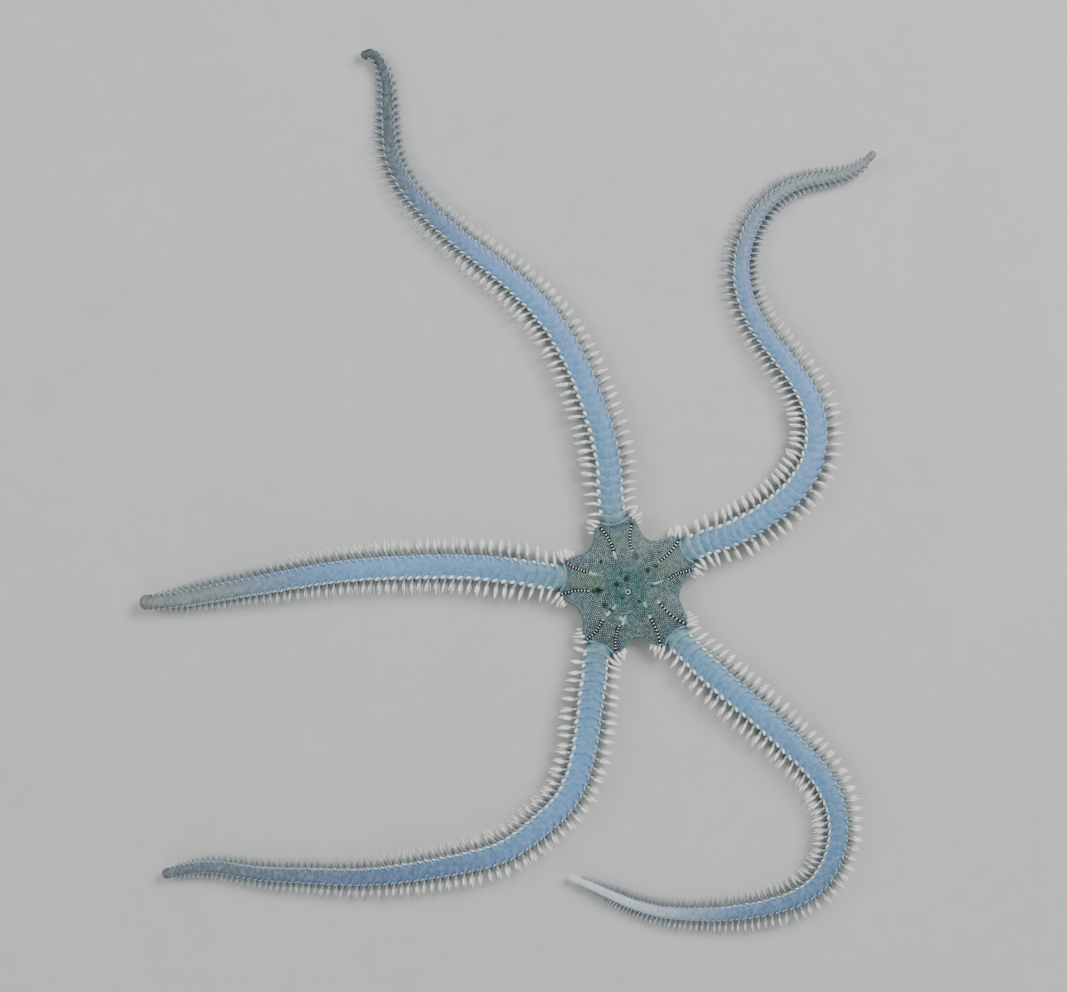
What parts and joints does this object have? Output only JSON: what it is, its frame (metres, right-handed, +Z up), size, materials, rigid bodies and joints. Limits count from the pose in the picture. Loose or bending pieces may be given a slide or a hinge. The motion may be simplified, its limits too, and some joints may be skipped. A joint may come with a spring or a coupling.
{
  "type": "brittle star",
  "caption": "Life-size brittle star model lying flat: granular lobed disc with a jawed mouth beneath and long tapering arms fringed with spines, in loose curves.",
  "frame": {"origin": "on the floor under the middle of the whole spread, arms and spines included", "axes": "+Z up out of the back; +Y towards the top of the picture, which is also the spread's longest side; +X to the right in it"},
  "size_m": [0.1467, 0.1774, 0.0059],
  "materials": {
    "disc_skin": "matt grey-green granular skin",
    "arm_plates": "satin pale blue overlapping plates",
    "jaw_plates": "satin cream plates"
  },
  "bodies": {
    "root": {"disc": "disc_skin", "jaw_1": "jaw_plates", "jaw_2": "jaw_plates", "jaw_3": "jaw_plates", "jaw_4": "jaw_plates", "jaw_5": "jaw_plates", "arm_1_base": "arm_plates", "arm_1_lower": "arm_plates", "arm_1_middle": "arm_plates", "arm_1_outer": "arm_plates", "arm_1_tip": "arm_plates", "arm_2_base": "arm_plates", "arm_2_lower": "arm_plates", "arm_2_middle": "arm_plates", "arm_2_outer": "arm_plates", "arm_2_tip": "arm_plates", "arm_3_base": "arm_plates", "arm_3_lower": "arm_plates", "arm_3_middle": "arm_plates", "arm_3_outer": "arm_plates", "arm_3_tip": "arm_plates", "arm_4_base": "arm_plates", "arm_4_lower": "arm_plates", "arm_4_middle": "arm_plates", "arm_4_outer": "arm_plates", "arm_4_tip": "arm_plates", "arm_5_base": "arm_plates", "arm_5_lower": "arm_plates", "arm_5_middle": "arm_plates", "arm_5_outer": "arm_plates", "arm_5_tip": "arm_plates"}
  },
  "joints": []
}
